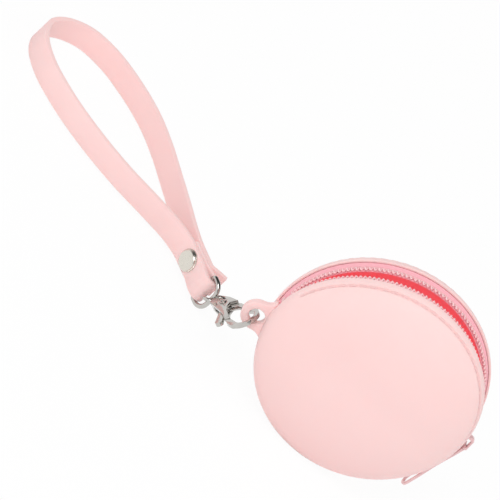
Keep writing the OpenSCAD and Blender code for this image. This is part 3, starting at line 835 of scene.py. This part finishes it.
bridge = drawn_plate("slider_bridge", [(x * MM, y * MM) for x, y in (
    (40.3, -3.2), (42.6, -3.2), (43.6, -2.95), (44.33, -2.1), (44.33, 2.1), (43.6, 2.95), (42.6, 3.2), (40.3, 3.2),
    (40.3, 2.0), (42.7, 2.0), (43.3, 1.8), (43.53, 1.3), (43.53, -1.3), (43.3, -1.8), (42.7, -2.0), (40.3, -2.0))],
    -bridge_half, bridge_half)
for vertex in bridge.data.vertices:
    vertex.co.z *= 1 - bridge_narrow * (vertex.co.y / (between_half * MM)) ** 2
ease_edges(bridge, 0.26 * MM)
bridge.data.transform(on_slider)
smooth(bridge)
bridge.data.materials.append(pink_plate)
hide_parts("slider_cap")
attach(bridge, "slider")


# Puller: a stamped strip with a window for the bridge at one end and a long finger slot at the other, painted like
# the slider. It hangs down beside the rim.
puller_length = 28 * MM
puller_half = 3 * MM
neck_half = 2.75 * MM
strip_half = 0.5 * MM
slot_length, slot_wall = 9 * MM, 0.95 * MM
puller_pivot = Vector((42.88, -1.3, 0)) * MM
# Straight down, and 10 degrees in towards the purse
puller_lean = -90 - 10 - slider_angle
cutter_half = 2 * MM

flank = [(0.0, neck_half), (4.6 * MM, neck_half), (9 * MM, 2.4 * MM), (14 * MM, 2.35 * MM), (19.5 * MM, 2.9 * MM)]
puller = drawn_plate("puller", tongue(flank, puller_length - puller_half, puller_half, 10), -strip_half, strip_half)
window = drawn_plate("window", [(x * MM, y * MM) for x, y in (
    (-1, -1.55), (3.6, -1.55), (4.2, -1.2), (4.6, 0), (4.2, 1.2), (3.6, 1.55), (-1, 1.55))], -cutter_half, cutter_half)
cut(puller, window)
slot_r = puller_half - slot_wall
slot_ends = (puller_length - slot_length + slot_r, puller_length - puller_half)
round_end = [math.radians(angle) for angle in range(-90, 91, 10)]
slot = drawn_plate("slot", [(slot_ends[1] + slot_r * math.cos(turn), slot_r * math.sin(turn)) for turn in round_end]
                   + [(slot_ends[0] - slot_r * math.cos(turn), -slot_r * math.sin(turn)) for turn in round_end],
                   -cutter_half, cutter_half)
cut(puller, slot)
ease_edges(puller, 0.24 * MM)
smooth(puller)
bar = rod(0.5 * MM, 2 * neck_half, turn=(math.radians(90), 0, 0), vertices=20)
ease_edges(bar, 0.12 * MM, 2)
puller = join("puller", puller, smooth(bar))
puller.data.transform(on_slider @ Matrix.Translation(puller_pivot) @ rotation(puller_lean, "Z") @ rotation(90, "X"))
puller.data.materials.append(pink_plate)
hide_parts("slider_puller")
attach(puller, "puller")


# Lobster clasp: a die-cast hook body with a slot for its gate, polished and nickel plated. It hooks through the
# eyelet tab.
hook_centre = Vector((-44.3761, 0, 21.7877)) * MM
on_clasp = (Matrix.Translation(hook_centre) @ rotation(26.6, "Y") @ rotation(-90, "Z") @ rotation(90, "X")
            @ rotation(44.7, "Z"))

hook_bend_r = 4.8 * MM
# Shares of the casting's width and of its bar that are left where they are drawn thin, and where each begins and ends
thin_width, thin_bar = 0.62, 0.7
width_from, width_to = -7 * MM, -1 * MM
bar_from, bar_to = 0.0, 2 * MM

hook = eased_copy("clasp_hook", "clasp_body", 0.45 * MM)
for vertex in hook.data.vertices:
    place = on_clasp.inverted() @ vertex.co
    place.z *= 1 - (1 - thin_width) * eased_share(place.x, width_from, width_to)
    away = math.hypot(place.x, place.y)
    bar_share = eased_share(place.x, bar_from, bar_to)
    scaled = hook_bend_r + (away - hook_bend_r) * (1 - (1 - thin_bar) * bar_share)
    if bar_share > 0:
        place.x, place.y = place.x * scaled / away, place.y * scaled / away
    vertex.co = on_clasp @ place
hook.data.materials.append(nickel)
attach(hook, "clasp")


# Gate of the clasp: a lever on a pin, with its thumb knob on the far side, cast and plated like the body.
gate = eased_copy("clasp_gate", "clasp_lever", 0.22 * MM)
gate.data.materials.append(nickel)
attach(gate, "gate")


# Pin of the gate: a tubular steel rivet through both cheeks of the body, rolled over to a ring at each end.
pivot = Vector((-15.9, 2.3, 0)) * MM
pin_r, pin_half = 0.68 * MM, 1.9 * MM
# Its rolled head: how much wider than the pin, its height, its ring's width and the depth of its dimple
head_swell, head_height, head_ring, dimple_depth = 1.95, 0.34 * MM, 0.7 * MM, 0.3 * MM
pin = rod(pin_r, 2 * pin_half)
mode("EDIT")
for end in (-1, 1):
    bpy.ops.mesh.select_mode(type="FACE")
    bpy.ops.mesh.select_all(action="DESELECT")
    mode("OBJECT")
    for face in pin.data.polygons:
        face.select = face.normal.z * end > 0.9
    mode("EDIT")
    pull((0, 0, 0))
    bpy.ops.transform.resize(value=(head_swell, head_swell, 1), center_override=(0, 0, end * pin_half))
    pull((0, 0, end * head_height))
    bpy.ops.mesh.inset(thickness=head_ring, depth=0)
    pull((0, 0, -end * dimple_depth))
mode("OBJECT")
ease_edges(pin, 0.14 * MM)
pin.data.transform(on_clasp @ Matrix.Translation(pivot))
pin.name = "clasp_pin"
smooth(pin, 45)
pin.data.materials.append(nickel)
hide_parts("gate_pin")
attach(pin, "clasp")


# Spring of the gate: a short coil of steel wire inside the body, which pushes the gate shut.
# Its start along the clasp and its distance to the side, its length and its radius, in millimetres
spring_start, spring_side, spring_length, spring_r = -18.38, 0.2, 0.76, 0.46
spring_turns, spring_steps = 6, 96
spring_steel = metal_finish("spring_wire", (display(176, 176, 178), display(150, 150, 154)), (0.2, 0.34), 3000.0,
                            0.02 * MM)
spring_points = []
for step in range(spring_steps + 1):
    turn = math.radians(360 * spring_turns * step / spring_steps)
    spring_points.append(on_clasp @ (Vector((
        spring_start + spring_length * step / spring_steps, spring_side + spring_r * math.cos(turn),
        spring_r * math.sin(turn))) * MM))
spring = wire("gate_coil", spring_points, 0.11 * MM, sides=1)
spring.data.materials.append(spring_steel)
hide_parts("gate_spring")
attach(spring, "clasp")


# Swivel: a turned post held by its head inside the clasp's tail, with a collar and a cast eye. It turns freely.
eye_centre_x = -25.7
swivel_side = 2.4
eye_turn = math.radians(125.17)
eye_r, eye_wire_r = 2.4 * MM, 0.6 * MM
# Radius, length, middle along the clasp, and rounding with its segments, of the stem, the collar and the head
swivel_turnings = ((0.9, 3.7, -21.05, 0, 0), (1.6, 1.1, -22.45, 0.28, 3), (1.25, 1.1, -19.75, 0.2, 2))
swivel_parts = []
for radius, length, along, rounding, segments in swivel_turnings:
    part = rod(radius * MM, length * MM, (along * MM, swivel_side * MM, 0), (0, math.radians(90), 0))
    if rounding:
        ease_edges(part, rounding * MM, segments)
    swivel_parts.append(smooth(part))
bpy.ops.object.select_all(action="DESELECT")
bpy.ops.mesh.primitive_torus_add(major_segments=48, minor_segments=16, major_radius=eye_r, minor_radius=eye_wire_r,
                                 rotation=(eye_turn, 0, 0), location=(eye_centre_x * MM, swivel_side * MM, 0))
eye = bpy.context.object
bpy.ops.object.transform_apply(location=True, rotation=True, scale=True)
swivel = join("swivel", *swivel_parts, smooth(eye, 80))
swivel.data.transform(on_clasp)
swivel.data.materials.append(nickel)
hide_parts("swivel_eye")
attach(swivel, "swivel")


# Ring of the strap: nickel-plated steel wire bent to a flat-sided ring and butted at its bar, which the strap's
# fold hides.
ring_wire_r = 0.9 * MM
ring_depth = 6.2 * MM
ring_half = 5.95 * MM
ring_bends = (0.9 * MM, 0.9 * MM, 4.1 * MM, 4.1 * MM)
eye_centre = on_clasp @ (Vector((eye_centre_x, swivel_side, 0)) * MM)
on_ring = Matrix.Translation(eye_centre) @ rotation(129, "Z")


def rounded_path(corners, radius, steps=8):
    """A closed path through corners, each rounded to its own radius."""
    path = []
    for index, (corner, bend) in enumerate(zip(corners, radius)):
        before, after = corners[index - 1], corners[(index + 1) % len(corners)]
        to_before, to_after = (before - corner).normalized(), (after - corner).normalized()
        middle = corner + bend * (to_before + to_after)
        for step in range(steps + 1):
            turn = math.pi / 2 * step / steps
            path.append(middle - bend * (math.cos(turn) * to_after + math.sin(turn) * to_before))
    return path


ring_corners = [Vector((ring_depth, 0, -ring_half)), Vector((ring_depth, 0, ring_half)), Vector((0, 0, ring_half)),
                Vector((0, 0, -ring_half))]
ring = wire("ring", rounded_path(ring_corners, ring_bends), ring_wire_r, closed=True, sides=6)
ring.data.transform(on_ring)
ring.data.materials.append(nickel)
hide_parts("strap_ring")
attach(ring, "ring")


# Wrist strap: one strip of the same silicone, folded round the ring's bar and riveted through three layers: the
# hem in the middle, and the two ends of the loop. Its free tail stands off beside the ring.
strap_width = 9.5 * MM
strap_thickness = 2 * MM
strap_edge = 0.32 * MM
# Its course lies in its own plane, in millimetres from the ring's bar
loop_reach = 116
loop_width = 48
layer_pitch = 2.15
fold_side = layer_pitch / 2
fold_gap = 0.15
fold_r = (ring_wire_r + strap_thickness / 2) / MM + fold_gap
rivet_x = 11.5
table_gap = 0.1 * MM
strap_tilt = math.asin((eye_centre.z - strap_width / 2 - table_gap) / ((loop_reach + 2) * MM))
on_strap = (on_ring @ Matrix.Translation((ring_depth, 0, 0)) @ Matrix.Rotation(strap_tilt, 4, "Y")
            @ Matrix.Translation((0, -fold_side * MM, 0)))
loop_shares = ((0.195, -0.062), (0.31, -0.12), (0.44, -0.18), (0.56, -0.232), (0.68, -0.25), (0.81, -0.192),
               (0.905, -0.092), (0.97, 0.065), (0.99, 0.31), (0.96, 0.56), (0.89, 0.7), (0.795, 0.755), (0.67, 0.72),
               (0.52, 0.592), (0.39, 0.415), (0.29, 0.23), (0.205, 0.09))


def layer(side, end):
    """The straight stretch of one layer at the rivet."""
    return [Vector((rivet_x + place, side * layer_pitch)) for place in (-4.3, -3.3, end - 1, end)]


# The strip from its free tail: a layer, the loop, a layer back, the fold round the bar, and the hem between them
course = [Vector((2.1, -7.5)), Vector((4.4, -5))] + layer(-1, 4.5)
course += [Vector((x * loop_reach, y * loop_width)) for x, y in loop_shares]
course += layer(1, 4.5)[::-1]
course += [Vector((fold_r * math.cos(math.radians(angle)), fold_side + fold_r * math.sin(math.radians(angle))))
           for angle in range(90, 271, 30)]
course += layer(0, 5.5)


def way_on(points, index):
    """Direction of a smooth course at one of its points."""
    here = points[index]
    before, after = points[max(index - 1, 0)], points[min(index + 1, len(points) - 1)]
    back, ahead = (here - before).length, (after - here).length
    if index == 0:
        return (after - here) / ahead
    if index == len(points) - 1:
        return (here - before) / back
    return ((here - before) * ahead / back + (after - here) * back / ahead) / (back + ahead)


# A smooth curve through the course, in steps of about 1.3 mm
strap_line = []
for index in range(len(course) - 1):
    start, end = course[index], course[index + 1]
    gap = (end - start).length
    out, into = gap * way_on(course, index), gap * way_on(course, index + 1)
    steps = max(3, math.ceil(gap / 1.3))
    for step in range(steps if index < len(course) - 2 else steps + 1):
        t = step / steps
        strap_line.append((2 * t ** 3 - 3 * t ** 2 + 1) * start + (t ** 3 - 2 * t ** 2 + t) * out
                          + (3 * t ** 2 - 2 * t ** 3) * end + (t ** 3 - t ** 2) * into)

half_thick, half_wide = strap_thickness / 2, strap_width / 2
section = []
for x_sign, z_sign in ((1, 1), (-1, 1), (-1, -1), (1, -1)):
    corner = [(x_sign * half_thick, z_sign * (half_wide - strap_edge)),
              (x_sign * (half_thick - 0.3 * strap_edge), z_sign * (half_wide - 0.3 * strap_edge)),
              (x_sign * (half_thick - strap_edge), z_sign * half_wide)]
    section += corner if x_sign == z_sign else corner[::-1]

strap_places = [Vector((point.x * MM, point.y * MM, 0)) for point in strap_line]
strap_sides = []
for index in range(len(strap_places)):
    before, after = strap_places[max(index - 1, 0)], strap_places[min(index + 1, len(strap_places) - 1)]
    along = (after - before).normalized()
    strap_sides.append(Vector((-along.y, along.x, 0)))

strap = draw_outline("strap", [strap_places[0] + x * strap_sides[0] + Vector((0, 0, z))
                               for x, z in section + section[:1]])
bpy.ops.mesh.edge_face_add()
for index in range(1, len(strap_places)):
    pull(strap_places[index] - strap_places[index - 1])
    mode("OBJECT")
    before_side, side_now = strap_sides[index - 1], strap_sides[index]
    swing = math.atan2(before_side.x * side_now.y - before_side.y * side_now.x, before_side.dot(side_now))
    turn = Matrix.Translation(strap_places[index]) @ Matrix.Rotation(swing, 4, "Z") @ Matrix.Translation(
        -strap_places[index])
    for vertex in strap.data.vertices:
        if vertex.select:
            vertex.co = turn @ vertex.co
    mode("EDIT")
bpy.ops.mesh.select_all(action="SELECT")
bpy.ops.mesh.normals_make_consistent(inside=False)
smooth(strap, 35)
strap.data.transform(on_strap)
strap.data.materials.append(silicone)
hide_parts("wrist_strap")
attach(strap, "strap")


# Rivet: a double-cap rivet of plated brass. The cap on the outside has a flat crown with a bevelled edge over a thin
# flange, and the base behind has a shallow dome.
ledge_share = 0.07
wall_share, bevel_share, crown_share = 0.45, 0.42, 0.13


def rivet_half(name, radius, flange, crown_r, height):
    """A rivet cap that stands on the XY plane and points up: flange, ledge, wall, bevelled edge and low crown."""
    piece = rod(radius, flange, (0, 0, flange / 2), vertices=64)
    piece.name = name
    rise = height - flange
    mode("EDIT")
    pick(piece, lambda place: place.z > flange * 0.9)
    bpy.ops.mesh.inset(thickness=radius * ledge_share, depth=0)
    pull((0, 0, wall_share * rise))
    pull((0, 0, bevel_share * rise))
    scale = crown_r / (radius * (1 - ledge_share))
    bpy.ops.transform.resize(value=(scale, scale, 1), center_override=(0, 0, 0))
    bpy.ops.mesh.inset(thickness=crown_r * 0.3, depth=0)
    bpy.ops.transform.translate(value=(0, 0, crown_share * rise))
    bpy.ops.mesh.inset(thickness=crown_r * 0.4, depth=0)
    bpy.ops.mesh.poke()
    mode("OBJECT")
    ease_edges(piece, 0.16 * MM, angle=28)
    return smooth(piece, 30)


rivet_plate = metal_finish("satin_nickel", (display(228, 224, 214), display(214, 209, 200)), (0.2, 0.32), 1800.0,
                           0.03 * MM)
outer_y = (layer_pitch + 1) * MM
for side, cap_name, cad_name, cap_r, flange, crown_r, height in (
    (1, "rivet_cap_outer", "rivet_cap", 4.2, 0.5, 3.4, 1.5),
    (-1, "rivet_base", "rivet_post", 3.8, 0.3, 3.2, 0.8),
):
    cap = rivet_half(cap_name, cap_r * MM, flange * MM, crown_r * MM, height * MM)
    cap.data.transform(on_strap @ Matrix.Translation((rivet_x * MM, side * outer_y, 0)) @ rotation(-90 * side, "X"))
    cap.data.materials.append(rivet_plate)
    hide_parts(cad_name)
    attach(cap, "strap")
